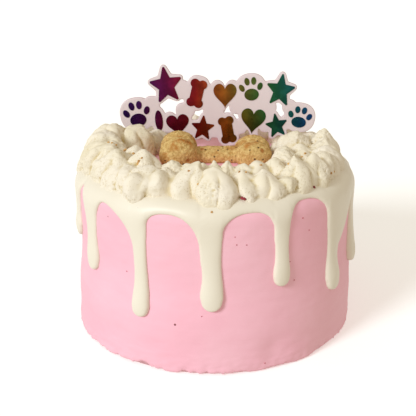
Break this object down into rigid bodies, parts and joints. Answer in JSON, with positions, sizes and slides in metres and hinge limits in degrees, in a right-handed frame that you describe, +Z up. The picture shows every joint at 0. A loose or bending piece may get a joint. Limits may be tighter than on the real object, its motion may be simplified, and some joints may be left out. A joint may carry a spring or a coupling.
{
  "type": "dog birthday cake",
  "caption": "Round pink frosted celebration cake with white icing running down its side, a wreath of piped cream, a bone biscuit and a flat standing topper.",
  "frame": {"origin": "centre of the cake's foot, on the surface it stands on", "axes": "+Z up, +X to the right as seen from the front, the front faces -Y"},
  "size_m": [0.1589, 0.1591, 0.1382],
  "materials": {
    "frosting": "matte pink frosting",
    "icing": "satin warm white icing",
    "cream": "matte whipped cream with fine pores",
    "biscuit": "baked, coarse golden crumb",
    "topper": "smooth pale plastic sheet with mirror foil shapes"
  },
  "bodies": {
    "root": {"cake": "frosting", "running_icing": "icing", "cream_wreath": "cream", "bone_biscuit": "biscuit", "topper": "topper"}
  },
  "joints": []
}
